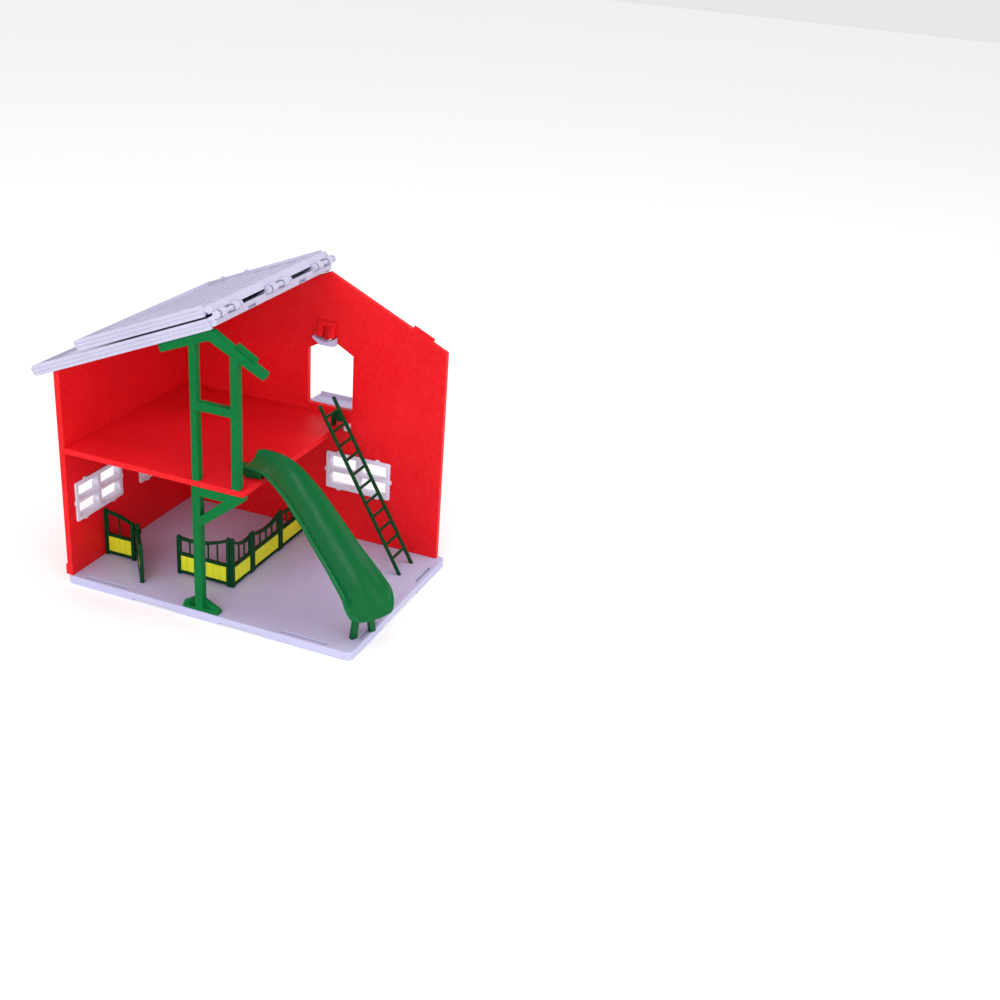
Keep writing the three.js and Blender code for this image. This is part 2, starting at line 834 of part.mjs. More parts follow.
function hingeNotch(place, radius) {
  const half = hingeSpan / 2 + fitGap;
  return plateXZ(disc(hingeAlong, hingeOut, radius), place - half, place + half);
}

// Fixed half of a hinge: two ears and the pin between them
function hingePinHalf(place) {
  const half = hingeSpan / 2;
  const root = ridgeStart(0) + hingeEar.root;
  const inEar = half - hingeEar.width / 2;
  const pieces = [plateXZ(disc(hingeAlong, hingeOut, hingePin), place - inEar, place + inEar)];
  for (const y of [place - half, place + half - hingeEar.width]) {
    pieces.push(plateXZ(disc(hingeAlong, hingeOut, hingeRing - hingeRunning), y, y + hingeEar.width));
    const web = outline([
      [hingeAlong, hingeOut - hingePin],
      [hingeAlong + hingePin, hingeOut - hingeRing + hingeRunning],
      [root, roofThickness - roofSkin],
      [root, roofThickness],
      [hingeAlong, hingeOut + hingePin / 2],
    ]);
    pieces.push(plateXZ(web, y, y + hingeEar.width));
  }
  return join(pieces);
}

// Moving half of a hinge: two open hooks on arms that lie in the panel's recess
function hingeHookHalf(place) {
  const root = ridgeStart(0) + roofRim / 2;
  const arm = outline([
    [hingeAlong + hingePin, hingeOut - hingePin],
    [root, fitGap + hingeArm.low],
    [hingeArm.reach, fitGap + hingeArm.low],
    [hingeArm.reach, roofThickness],
    [hingeAlong + hingeRing, roofThickness],
    [hingeAlong + hingeRing - hingePin / 2, hingeOut],
  ]);
  return hingeHookShares.map((share) => {
    const middle = place + share * hingeSpan;
    const y0 = middle - hingeHook / 2;
    const y1 = middle + hingeHook / 2;
    const ring = plateXZ(disc(hingeAlong, hingeOut, hingeRing), y0, y1);
    const bore = plateXZ(disc(hingeAlong, hingeOut, hingePin + fitGap), y0 - cutOverrun, y1 + cutOverrun);
    return cut(ring.add(plateXZ(arm, y0, y1)), [bore, hingeMouth(y0, y1)]);
  });
}

// The wedge that opens each hook, so that it snaps onto the pin
function hingeMouth(y0, y1) {
  const half = THREE.MathUtils.degToRad(hingeMouthDegrees) / 2;
  const reach = 2 * hingeRing;
  return plateXZ(
    outline([
      [hingeAlong, hingeOut],
      [hingeAlong - reach * Math.sin(half), hingeOut + reach * Math.cos(half)],
      [hingeAlong + reach * Math.sin(half), hingeOut + reach * Math.cos(half)],
    ]),
    y0 - cutOverrun,
    y1 + cutOverrun,
  );
}

function leftRoof() {
  const notches = hingePlaces.map((place) => hingeNotch(place, hingeRing + hingeRunning));
  const slots = ridgeSlotShares.map((share) =>
    boxBetween(
      ridgeStart(roofThickness) - cutOverrun,
      ridgeStart(0) + roofRim / 2,
      share * barnDepth - ridgeSlot.length / 2,
      share * barnDepth + ridgeSlot.length / 2,
      fitGap + ridgeSlot.low - ridgeSlot.height,
      fitGap + ridgeSlot.low,
    ),
  );
  const panel = cut(roofPanel(roofLeftLength, roofEdge.leftBack), [...notches, ...slots]);
  return join([panel, ...hingePlaces.map(hingePinHalf)]);
}

// Where the right half lies over the gable wall's tab, measured down its slope
const tabSlot = {
  start: (gableTabEnds.from - ridgeRight) / Math.cos(rightPitch) - slopeTab.clearance,
  end: (gableTabEnds.to - ridgeRight) / Math.cos(rightPitch) + slopeTab.clearance,
};

function rightRoof() {
  const notches = hingePlaces.map((place) => hingeNotch(place, hingeRing - hingeRunning + fitGap));
  const half = slopeTab.thickness / 2 + slopeTab.clearance;
  const slot = boxBetween(
    tabSlot.start,
    tabSlot.end,
    gableTabMiddle - half,
    gableTabMiddle + half,
    -cutOverrun,
    slopeTab.height + fitGap,
  );
  const bosses = [tabSlot.start - slotBoss.length, tabSlot.end].map((x) =>
    boxBetween(
      x,
      x + slotBoss.length,
      backFace + fitGap,
      backFace + roofOverhang,
      fitGap - slotBoss.height,
      fitGap + roofRecess / 2,
    ),
  );
  const panel = cut(roofPanel(roofRightLength, roofEdge.rightBack), [...notches, slot]);
  return join([panel, ...bosses, ...hingePlaces.flatMap(hingeHookHalf)]);
}

// The frame that carries a panel drawn from the ridge down the left-hand slope
function leftSlopeMatrix() {
  const down = new THREE.Vector3(-Math.cos(leftPitch), 0, -Math.sin(leftPitch));
  const out = new THREE.Vector3(-Math.sin(leftPitch), 0, Math.cos(leftPitch));
  const along = out.clone().cross(down);
  return new THREE.Matrix4()
    .makeBasis(down, along, out)
    .setPosition(ridgeRight, 0, ridgeHeight);
}

// The same for the right half, turned about the hinge until it lies on the left half
function foldedMatrix() {
  const down = new THREE.Vector3(-Math.cos(leftPitch), 0, -Math.sin(leftPitch));
  const out = new THREE.Vector3(Math.sin(leftPitch), 0, -Math.cos(leftPitch));
  const along = out.clone().cross(down);
  const basis = new THREE.Matrix4().makeBasis(down, along, out);
  const hinge = new THREE.Vector3(hingeAlong, 0, hingeOut);
  const place = hinge.clone().applyMatrix4(leftSlopeMatrix());
  const offset = place.sub(hinge.clone().applyMatrix4(basis));
  return basis.setPosition(offset);
}

// Top edge of the front frame's arms at a place across the barn
const trussPeak = ridgeRight - trussApex.left;

function trussTop(x) {
  if (x < trussPeak) return slopeHeight(x);
  const fall = trussRight.drop - (ridgeHeight - slopeHeight(trussPeak));
  return slopeHeight(trussPeak) - ((x - trussPeak) * fall) / (trussRight.reach + trussApex.left);
}

function trussArms() {
  const leftX = ridgeRight - trussLeft.reach;
  const rightX = ridgeRight + trussRight.reach;
  const lean = Math.atan2(slopeHeight(trussPeak) - trussTop(rightX), rightX - trussPeak);
  return plateXZ(
    outline([
      [trussPeak, slopeHeight(trussPeak)],
      [leftX, slopeHeight(leftX)],
      [
        leftX + trussLeft.end * Math.sin(leftPitch),
        slopeHeight(leftX) - trussLeft.end * Math.cos(leftPitch),
      ],
      [ridgeRight - trussApex.innerLeft, slopeHeight(trussPeak) - trussApex.depth],
      [rightX - trussRight.end * Math.sin(lean), trussTop(rightX) - trussRight.end * Math.cos(lean)],
      [rightX, trussTop(rightX)],
    ]),
    frontFace,
    frontFace + frameDepth,
  );
}

function trussFrame() {
  const y0 = frontFace;
  const y1 = frontFace + frameDepth;
  const pieces = [trussArms()];
  const posts = [
    [trussPost.left, trussPost.left + trussPost.leftWidth],
    [trussPost.right, trussPost.right + trussPost.rightWidth],
  ];
  for (const [from, to] of posts) {
    pieces.push(
      plateXZ(
        outline([
          [from, loftHeight],
          [to, loftHeight],
          [to, trussTop(to) - trussApex.depth / 2],
          [from, trussTop(from) - trussApex.depth / 2],
        ]),
        y0,
        y1,
      ),
    );
  }
  pieces.push(boxBetween(posts[0][0], posts[1][1], y0, y1, trussBar.low, trussBar.high));
  pieces.push(slopeStrip(trussTabEnds, trussTop, trussTabMiddle));
  return join(pieces);
}

function loftPost() {
  const y0 = frontFace;
  const y1 = frontFace + frameDepth;
  const top = loftHeight - loftThickness;
  const column = boxBetween(post.from, post.to, y0, y1, baseThickness, top);
  const inside = (post.from + post.to) / 2;
  const arm = plateXZ(
    outline([
      [inside, top],
      [inside, top - postBracket.drop - (post.to - inside)],
      [post.to, top - postBracket.drop],
      [post.to + postBracket.reach, top - postBracket.tip],
      [post.to + postBracket.reach, top],
    ]),
    y0,
    y1,
  );
  const window = plateXZ(
    outline([
      [post.to, top - postBracket.bar],
      [post.to, top - postBracket.bar - postBracket.windowDrop],
      [post.to + postBracket.window, top - postBracket.bar],
    ]),
    y0 - cutOverrun,
    y1 + cutOverrun,
  );
  const left = post.from - postFoot.left;
  const right = post.to + postFoot.right;
  const plate = boxBetween(left, right, y0, y1, baseThickness, baseThickness + postFoot.plate);
  const middle = (y0 + y1) / 2;
  const web = plateXZ(
    outline([
      [left, baseThickness],
      [right, baseThickness],
      [right, baseThickness + postFoot.toe],
      [post.to, baseThickness + postFoot.rise],
      [post.from, baseThickness + postFoot.rise],
      [left, baseThickness + postFoot.toe],
    ]),
    middle - postFoot.web / 2,
    middle + postFoot.web / 2,
  );
  return join([column, cut(arm, [window]), plate, web]);
}

// A closed skin through rings of points that all have the same count
function loft(rings) {
  const count = rings[0].length;
  const positions = rings.flat().flatMap((point) => point.toArray());
  const faces = [];
  for (let i = 0; i + 1 < rings.length; i++) {
    for (let j = 0; j < count; j++) {
      const a = i * count + j;
      const b = i * count + ((j + 1) % count);
      faces.push(a, b, a + count, b, b + count, a + count);
    }
  }
  const flat = rings[0].map((point) => new THREE.Vector2(point.section.x, point.section.y));
  for (const [a, b, c] of THREE.ShapeUtils.triangulateShape(flat, [])) {
    const last = (rings.length - 1) * count;
    faces.push(a, c, b);
    faces.push(last + a, last + b, last + c);
  }
  const geometry = new THREE.BufferGeometry();
  geometry.setAttribute("position", new THREE.Float32BufferAttribute(positions, 3));
  geometry.setIndex(faces);
  const solid = asSolid(geometry);
  if (solid.volume() > 0) return solid;
  const turned = [];
  for (let i = 0; i < faces.length; i += 3) turned.push(faces[i], faces[i + 2], faces[i + 1]);
  geometry.setIndex(turned);
  return asSolid(geometry);
}

// Half-section of the slide's channel from its middle to its rolled rim, as shares of its half width
const channelWidthShares = [0, 0.35, 0.62, 0.82, 0.94, 1];
const channelRiseShares = [0, 0.05, 0.24, 0.54, 0.82, 1];

function channelSection(half, rise) {
  const band = rise - slideRim.band;
  const inner = channelWidthShares.map((share, i) => [
    share * (half - slideSkin),
    slideSkin + channelRiseShares[i] * (rise - slideSkin),
  ]);
  const outer = channelWidthShares.map((share, i) => [share * half, channelRiseShares[i] * band]);
  const rim = [
    [half + slideRim.out, band],
    [half + slideRim.out, rise - slideRim.band / 3],
    [half + slideRim.out / 3, rise],
  ];
  const right = [...outer, ...rim, ...inner.toReversed()];
  const left = right.slice(1, -1).toReversed().map(([w, h]) => [-w, h]);
  return [...right, ...left];
}

const slidePath = new THREE.CatmullRomCurve3(
  slidePathShares.map(
    ([along, swing, fall]) =>
      new THREE.Vector3(
        slideStart.x + along * slideRun,
        slideStartY + (slidePathShares[0][1] - swing) * slideSwing,
        slideTop - fall * slideFall,
      ),
  ),
  false,
  "centripetal",
);

// Middle of the slide at a share of its path: place under the rims, level direction across, depth and slope
function slidePlace(share) {
  const rim = slidePath.getPoint(share);
  const heading = slidePath.getTangent(share);
  const level = Math.hypot(heading.x, heading.y);
  const across = new THREE.Vector3(-heading.y / level, heading.x / level, 0);
  const spot = Math.min(share, 1) * (slideDepthShares.length - 1);
  const before = Math.min(Math.floor(spot), slideDepthShares.length - 2);
  const [from, to] = slideDepthShares.slice(before, before + 2);
  const depth = slideDepth * THREE.MathUtils.lerp(from, to, spot - before);
  const half = THREE.MathUtils.lerp(slideTopWidth, slideExitWidth, share) / 2 - slideRim.out / 2;
  return { rim, across, depth, half, fall: -heading.z / level };
}

// A ring of points square to the slide's path, drawn as [across, up from the underside]
function slideRing({ rim, across, depth }, section) {
  return section.map(([w, h]) => {
    const point = rim.clone().addScaledVector(across, w);
    point.z += h - depth;
    point.section = { x: w, y: h };
    return point;
  });
}

function slideChannel() {
  const bodyShare = (slidePathShares.length - 2) / (slidePathShares.length - 1);
  const rings = [];
  for (let i = 0; i < slideSteps; i++) {
    const place = slidePlace((bodyShare * i) / slideSteps);
    rings.push(slideRing(place, channelSection(place.half, place.depth)));
  }
  for (let i = 0; i <= slideCornerSteps; i++) {
    const angle = (i / slideCornerSteps) * (Math.PI / 2);
    const place = slidePlace(bodyShare + (1 - bodyShare) * Math.sin(angle));
    const half = place.half - slideCorner * (1 - Math.cos(angle));
    const fall = THREE.MathUtils.smoothstep(Math.sin(angle), 0, 1);
    const rise = THREE.MathUtils.lerp(place.depth, slideLip, fall);
    rings.push(slideRing(place, channelSection(half, rise)));
  }
  return loft(rings);
}

// Level-footed walls that close the space under the slide's top end, down to the loft
function slideTopStand() {
  const bottom = loftHeight + fitGap;
  const wall = (shares, from, to, top) =>
    loft(
      shares.map((share) => {
        const place = slidePlace(share);
        const foot = bottom - (place.rim.z - place.depth);
        const [near, far] = [from(place.half), to(place.half)];
        return slideRing(place, [
          [near, foot],
          [far, foot],
          [far, top(place.depth)],
          [near, top(place.depth)],
        ]);
      }),
    );
  const sides = [];
  for (let i = 0; i <= slideStandSteps; i++) sides.push((i / slideStandSteps) * slideStandShare);
  const outside = slideStand.inset;
  const inside = outside + slideStand.wall;
  const underRim = (depth) => depth - slideRim.band + slideStand.sink;
  return [
    wall(sides, (half) => outside - half, (half) => inside - half, underRim),
    wall(sides, (half) => half - inside, (half) => half - outside, underRim),
    wall(
      [0, slideStand.wall / slideRun],
      (half) => outside - half,
      (half) => half - outside,
      () => slideStand.sink,
    ),
  ];
}

// Tongue on the loft behind the slide's top end, with the peg that drops into the loft's hole
function slideFoot() {
  const { left, half, corner, height } = slideTongue;
  const y = slideTongueY;
  const bottom = loftHeight + fitGap;
  const tongue = plateXY(
    roundedRectangle(left, slideStart.x + slideTongue.corner, y - half, y + half, corner),
    bottom,
    bottom + height,
  );
  const peg = plateXY(disc(slidePeg.x, y, slidePeg.radius), bottom - slidePeg.length, bottom + height / 2);
  return [tongue, peg];
}

function slideChute() {
  return join([slideChannel(), ...slideTopStand(), ...slideFoot()]);
}

// An A-shaped stand square to the slide's path, close under its lower end
function slideLegFrame() {
  const place = slidePlace(slideLegShare);
  const half = slideLeg.depth / 2;
  const top = place.rim.z - place.depth - half * place.fall - fitGap;
  const legs = [-1, 1].map((side) => {
    const points = [
      [side * slideLeg.topHalf, top],
      [side * slideLeg.footHalf, baseThickness],
      [side * (slideLeg.footHalf - slideLeg.leg), baseThickness],
      [side * (slideLeg.topHalf - slideLeg.leg), top],
    ];
    if (side > 0) points.reverse();
    return plateYZ(outline(points), -half, half);
  });
  const bars = [top, top - slideLeg.drop].map((z) =>
    boxBetween(-half, half, -slideLeg.topHalf, slideLeg.topHalf, z - slideLeg.bar, z),
  );
  const turn = THREE.MathUtils.radToDeg(Math.atan2(-place.across.x, place.across.y));
  return join([...legs, ...bars])
    .rotate([0, 0, turn])
    .translate([place.rim.x, place.rim.y, 0]);
}

function ladder() {
  const height = ladderHead.z - baseThickness;
  const run = ladderHead.x - ladderFoot;
  const at = (share) => [ladderFoot + run * share, baseThickness + height * share];
  const pieces = [];
  const half = ladderWidth / 2 - ladderRail;
  const lean = Math.hypot(run, height);
  const past = ladderRail / lean;
  for (const side of [-1, 1]) {
    const y = ladderMiddle + side * half;
    const [footX, footZ] = at(-past);
    const [topX, topZ] = at(1);
    pieces.push(barBetween([footX, y, footZ], [topX, y, topZ], ladderRail, 12));
  }
  const inRail = half + ladderRail / 3;
  const step = 1 / (ladderRungs + 1);
  for (let i = 1; i <= ladderRungs; i++) {
    const [x, z] = at((i + ladderRungPhaseShare) * step);
    pieces.push(barBetween([x, ladderMiddle - inRail, z], [x, ladderMiddle + inRail, z], ladderRung, 8));
  }
  const railAt = (z) => at((z - baseThickness) / height);
  const floor = loftHeight + fitGap;
  const toe = loftRight - ladderHook.over;
  const hook = outline([
    [toe, floor],
    [toe + ladderHook.toe, floor],
    [toe + ladderHook.toe, floor + ladderHook.low],
    railAt(floor + ladderHook.foot),
    railAt(floor + ladderHook.top),
    [toe, floor + ladderHook.high],
  ]);
  pieces.push(plateXZ(hook, ladderMiddle, ladderMiddle + inRail));
  const ground = boxBetween(
    ladderFoot - ladderEnds,
    ladderFoot + ladderEnds,
    ladderMiddle - ladderWidth,
    ladderMiddle + ladderWidth,
    -cutOverrun,
    baseThickness,
  );
  return cut(join(pieces), [ground]);
}

// A fence panel along X from zero, standing on height zero, with its top rail falling between two heights
function stallFrame(length, startTop, endTop, { round = false, sag = stallSag } = {}) {
  const half = stallThickness / 2;
  const first = round ? gateRing.radius + gateRing.clearance : 0;
  const innerStart = first + stallPost;
  const innerEnd = length - stallPost;
  const pieces = [
    boxBetween(first, innerStart, -half, half, stallLow, startTop),
    boxBetween(innerEnd, length, -half, half, round ? stallLow : 0, endTop),
  ];
  const railStart = round ? 0 : first;
  for (const z of [stallLow, stallMiddle]) {
    pieces.push(boxBetween(railStart, length, -half, half, z, z + stallRail));
  }
  const middle = (innerStart + innerEnd) / 2;
  const dip = (startTop + endTop) / 2 - 2 * sag;
  const shape = new THREE.Shape();
  shape.moveTo(innerStart - stallRail, startTop - stallRail);
  shape.quadraticCurveTo(middle, dip - stallRail, innerEnd + stallRail, endTop - stallRail);
  shape.lineTo(innerEnd + stallRail, endTop);
  shape.quadraticCurveTo(middle, dip, innerStart - stallRail, startTop);
  pieces.push(plateXZ(shape, -half, half));
  if (round) {
    pieces.push(boxBetween(0, innerStart, -half, half, startTop - stallRail, startTop));
  } else {
    pieces.push(boxBetween(first, innerStart, -half, half, 0, stallLow + stallRail));
  }
  const bars = Math.max(1, Math.round((innerEnd - innerStart) / stallBarPitch) - 1);
  for (let i = 1; i <= bars; i++) {
    const share = i / (bars + 1);
    const x = innerStart + (innerEnd - innerStart) * share;
    const top = railHeight(share, startTop, endTop, dip) - stallRail / 2;
    const foot = stallMiddle + stallRail / 2;
    pieces.push(boxBetween(x - stallBar / 2, x + stallBar / 2, -half / 2, half / 2, foot, top));
  }
  pieces.push(ball([first + stallPost / 2, 0, startTop], stallKnob));
  pieces.push(ball([length - stallPost / 2, 0, endTop], stallKnob));
  return join(pieces);
}

function railHeight(share, startTop, endTop, dip) {
  const rest = 1 - share;
  return rest * rest * startTop + 2 * rest * share * dip + share * share * endTop;
}

// The plank board that fills the lower half of a panel
function stallBoard(length, first = 0) {
  const left = first + stallPost + fitGap;
  const right = length - stallPost - fitGap;
  const half = stallInfill / 2;
  const bottom = stallLow + stallRail + fitGap;
  const top = stallMiddle - fitGap;
  const board = boxBetween(left, right, -half, half, bottom, top);
  const planks = Math.round((right - left) / stallPlankPitch);
  const grooves = [];
  for (let i = 1; i < planks; i++) {
    const x = left + ((right - left) * i) / planks;
    for (const side of [-1, 1]) {
      const face = side * half;
      grooves.push(
        boxBetween(
          x - stallGroove.width / 2,
          x + stallGroove.width / 2,
          Math.min(face, face - side * stallGroove.depth),
          Math.max(face, face - side * stallGroove.depth) + (side > 0 ? cutOverrun : 0),
          bottom - cutOverrun,
          top + cutOverrun,
        ),
      );
    }
  }
  return cut(board, grooves);
}

function addStallPanel(name, { x, y, turn, length, startTop, endTop, sag, extra = [] }) {
  const group = new THREE.Group();
  group.position.set(x, y, baseThickness);
  group.rotation.z = turn;
  barn.add(group);
  const frame = stallFrame(length, startTop, endTop, { sag });
  addPiece(`${name}_frame`, join([frame, ...extra]), fencePlastic, group);
  addPiece(`${name}_planks`, stallBoard(length), infillPlastic, group);
}

// Rings on the door post that the gate's stile turns in
function gateRings(length) {
  const axis = length + gateRing.radius;
  return gateRingShares.map((share) => {
    const z = share * stallLowTop;
    const ring = plateXY(disc(axis, 0, gateRing.radius), z, z + gateRing.height);
    const web = boxBetween(
      length - stallPost / 2,
      axis,
      -stallPost / 2,
      stallPost / 2,
      z,
      z + gateRing.height,
    );
    const bore = plateXY(disc(axis, 0, gateStile + fitGap), z - cutOverrun, z + gateRing.height + cutOverrun);
    return cut(ring.add(web), [bore]);
  });
}

function addGate(x, length) {
  const group = new THREE.Group();
  group.position.set(x, stallFront, baseThickness);
  group.rotation.z = gateAngle;
  barn.add(group);
  const top = stallLowTop;
  const frame = stallFrame(length, top, top, { round: true });
  const stile = plateXY(disc(0, 0, gateStile), stallLow / 2, top + stallRail / 2);
  const footShape = disc(length - gateFoot.radius, 0, gateFoot.radius);
  const foot = plateXY(footShape, gateFoot.lift, stallLow + stallRail / 2);
  const planks = stallBoard(length, gateRing.radius + gateRing.clearance);
  addPiece("stall_gate_frame", join([frame, stile, foot]), fencePlastic, group);
  addPiece("stall_gate_planks", planks, infillPlastic, group);
}

function addStalls() {
  const wallStart = innerLeft;
  const hinge = stallDoorFrom + gateRing.radius;
  addStallPanel("stall_wall", {
    x: wallStart,
    y: stallFront,
    turn: 0,
    length: stallDoorFrom - wallStart,
    startTop: stallHigh,
    endTop: stallLowTop,
    sag: -stallArch,
    extra: gateRings(stallDoorFrom - wallStart),
  });
  addGate(hinge, stallDoorTo - fitGap - hinge);
  addStallPanel("stall_front", {
    x: stallDoorTo,
    y: stallFront,
    turn: 0,
    length: stallSide - stallThickness / 2 - fitGap - stallDoorTo,
    startTop: stallLowTop,
    endTop: stallCornerTop,
  });
  const sideStart = stallFront - stallThickness / 2;
  const breaks = stallSideShares.map((share) => stallFront + share * (innerBack - stallFront));
  const stops = [sideStart, ...breaks, innerBack];
  for (let i = 0; i + 1 < stops.length; i++) {
    const gap = i + 2 < stops.length ? fitGap : 0;
    addStallPanel(`stall_side_${i + 1}`, {
      x: stallSide,
      y: stops[i],
      turn: Math.PI / 2,
      length: stops[i + 1] - stops[i] - gap,
      startTop: i > 0 ? stallSideTop : stallCornerTop,
      endTop: stallSideTop,
    });
  }
}

function addWindow(name, x, y, turn) {
  const mesh = addPiece(name, windowInsert(), windowPlastic);
  mesh.position.set(x, y, windowMiddle);
  mesh.rotation.z = turn;
}

addPiece("base_plate", basePlate(), lavenderPlastic);
addPiece("left_wall", leftWall(), redPlastic);
addPiece("gable_wall", gableWall(), redPlastic);
addPiece("loft_floor", loftFloor(), redPlastic);
addPiece("loft_corner_clip", cornerClip(), windowPlastic);
addPiece("hoist_bracket", hoistBracket(), redPlastic);
addPiece("hoist_shoe", hoistShoePiece(), lavenderPlastic);
addPiece("loft_door", hatchDoor(), lavenderPlastic);
addWindow("window_left_front", innerLeft, leftWindowPlaces[0], Math.PI / 2);
addWindow("window_left_back", innerLeft, leftWindowPlaces[1], Math.PI / 2);
addWindow("window_gable", gableWindow, innerBack, 0);
addPiece("truss_frame", trussFrame(), framePlastic);
addPiece("loft_post", loftPost(), framePlastic);
const leftRoofPiece = addPiece("roof_left", leftRoof(), roofPlastic);
leftRoofPiece.applyMatrix4(leftSlopeMatrix());
const rightRoofPiece = addPiece("roof_right", rightRoof(), roofPlastic);
rightRoofPiece.applyMatrix4(foldedMatrix());
addPiece("slide_chute", slideChute(), slidePlastic);
addPiece("slide_leg", slideLegFrame(), slidePlastic);
addPiece("ladder", ladder(), fencePlastic);
addStalls();

export default barn;
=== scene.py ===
"""Looks of the toy barn: moulded plastics, softened edges, a smooth slide, floor, light and camera."""

import json
import math

import bmesh
import bpy
from mathutils import Matrix, Vector


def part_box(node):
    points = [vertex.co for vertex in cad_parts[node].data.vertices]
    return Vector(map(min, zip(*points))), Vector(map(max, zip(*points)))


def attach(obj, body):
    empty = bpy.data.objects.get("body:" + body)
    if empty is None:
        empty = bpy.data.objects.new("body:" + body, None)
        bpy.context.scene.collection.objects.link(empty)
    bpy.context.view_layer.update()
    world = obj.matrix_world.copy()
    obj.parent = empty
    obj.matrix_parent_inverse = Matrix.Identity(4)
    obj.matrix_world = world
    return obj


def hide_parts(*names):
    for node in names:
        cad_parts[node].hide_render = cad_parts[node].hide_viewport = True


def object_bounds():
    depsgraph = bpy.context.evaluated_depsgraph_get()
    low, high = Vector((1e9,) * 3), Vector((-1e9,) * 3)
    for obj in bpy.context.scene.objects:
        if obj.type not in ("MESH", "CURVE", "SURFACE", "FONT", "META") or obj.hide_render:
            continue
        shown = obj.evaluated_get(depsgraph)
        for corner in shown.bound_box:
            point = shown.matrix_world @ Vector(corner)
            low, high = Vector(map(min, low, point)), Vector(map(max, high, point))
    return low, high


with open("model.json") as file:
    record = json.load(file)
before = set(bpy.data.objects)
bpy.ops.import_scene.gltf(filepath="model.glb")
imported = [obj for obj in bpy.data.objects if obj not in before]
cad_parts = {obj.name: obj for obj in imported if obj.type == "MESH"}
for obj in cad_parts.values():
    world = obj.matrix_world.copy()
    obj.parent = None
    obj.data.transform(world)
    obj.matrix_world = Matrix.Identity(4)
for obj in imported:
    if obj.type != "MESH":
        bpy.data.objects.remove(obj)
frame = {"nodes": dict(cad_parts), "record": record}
cad_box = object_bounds()
MM = 0.001


# Camera: the photograph's place and angle, solved from the barn's own corners
def make_camera():
    azimuth, elevation, roll = (math.radians(d) for d in (19.848, 25.451, 4.358))
    forward = Vector((
        -math.sin(azimuth) * math.cos(elevation),
        math.cos(azimuth) * math.cos(elevation),
        -math.sin(elevation),
    ))
    level = Vector((math.cos(azimuth), math.sin(azimuth), 0))
    up = level.cross(forward)
    right = level * math.cos(roll) + up * math.sin(roll)
    top = up * math.cos(roll) - level * math.sin(roll)
    data = bpy.data.cameras.new("camera")
    data.sensor_width = 36
    data.lens = 36 * 1375.611 / 1000
    data.clip_start, data.clip_end = 0.01, 20
    camera = bpy.data.objects.new("camera", data)
    place = Matrix((right, top, -forward)).transposed().to_4x4()
    place.translation = Vector((421.25, -703.868, 450.251)) * MM
    camera.matrix_world = place
    bpy.context.scene.collection.objects.link(camera)
    bpy.context.scene.camera = camera


make_camera()


# Materials
def srgb(red, green, blue):
    def linear(value):
        value /= 255
        return value / 12.92 if value <= 0.04045 else ((value + 0.055) / 1.055) ** 2.4

    return linear(red), linear(green), linear(blue), 1


class Nodes:
    """Short calls for the nodes of one material."""

    def __init__(self, name):
        self.material = bpy.data.materials.new(name)
        self.material.use_nodes = True
        self.tree = self.material.node_tree
        self.shader = self.tree.nodes["Principled BSDF"]

    def add(self, kind, inputs=None, **settings):
        node = self.tree.nodes.new(kind)
        for key, value in settings.items():
            setattr(node, key, value)
        for key, value in (inputs or {}).items():
            if isinstance(value, bpy.types.NodeSocket):
                self.tree.links.new(value, node.inputs[key])
            else:
                node.inputs[key].default_value = value
        return node

    def math(self, operation, first, second=0.0):
        return self.add("ShaderNodeMath", {0: first, 1: second}, operation=operation).outputs[0]

    def noise(self, where, scale, detail=2.0, roughness=0.5):
        inputs = {"Vector": where, "Scale": scale, "Detail": detail, "Roughness": roughness}
        return self.add("ShaderNodeTexNoise", inputs).outputs["Fac"]

    def spread(self, value, low, high, low_out, high_out):
        inputs = {0: value, 1: low, 2: high, 3: low_out, 4: high_out}
        return self.add("ShaderNodeMapRange", inputs, clamp=True).outputs[0]

    def blend(self, share, first, second, kind="MIX"):
        node = self.add("ShaderNodeMix", data_type="RGBA", blend_type=kind)
        for socket, value in ((node.inputs[0], share), (node.inputs[6], first), (node.inputs[7], second)):
            if isinstance(value, bpy.types.NodeSocket):
                self.tree.links.new(value, socket)
            else:
                socket.default_value = value
        return node.outputs[2]


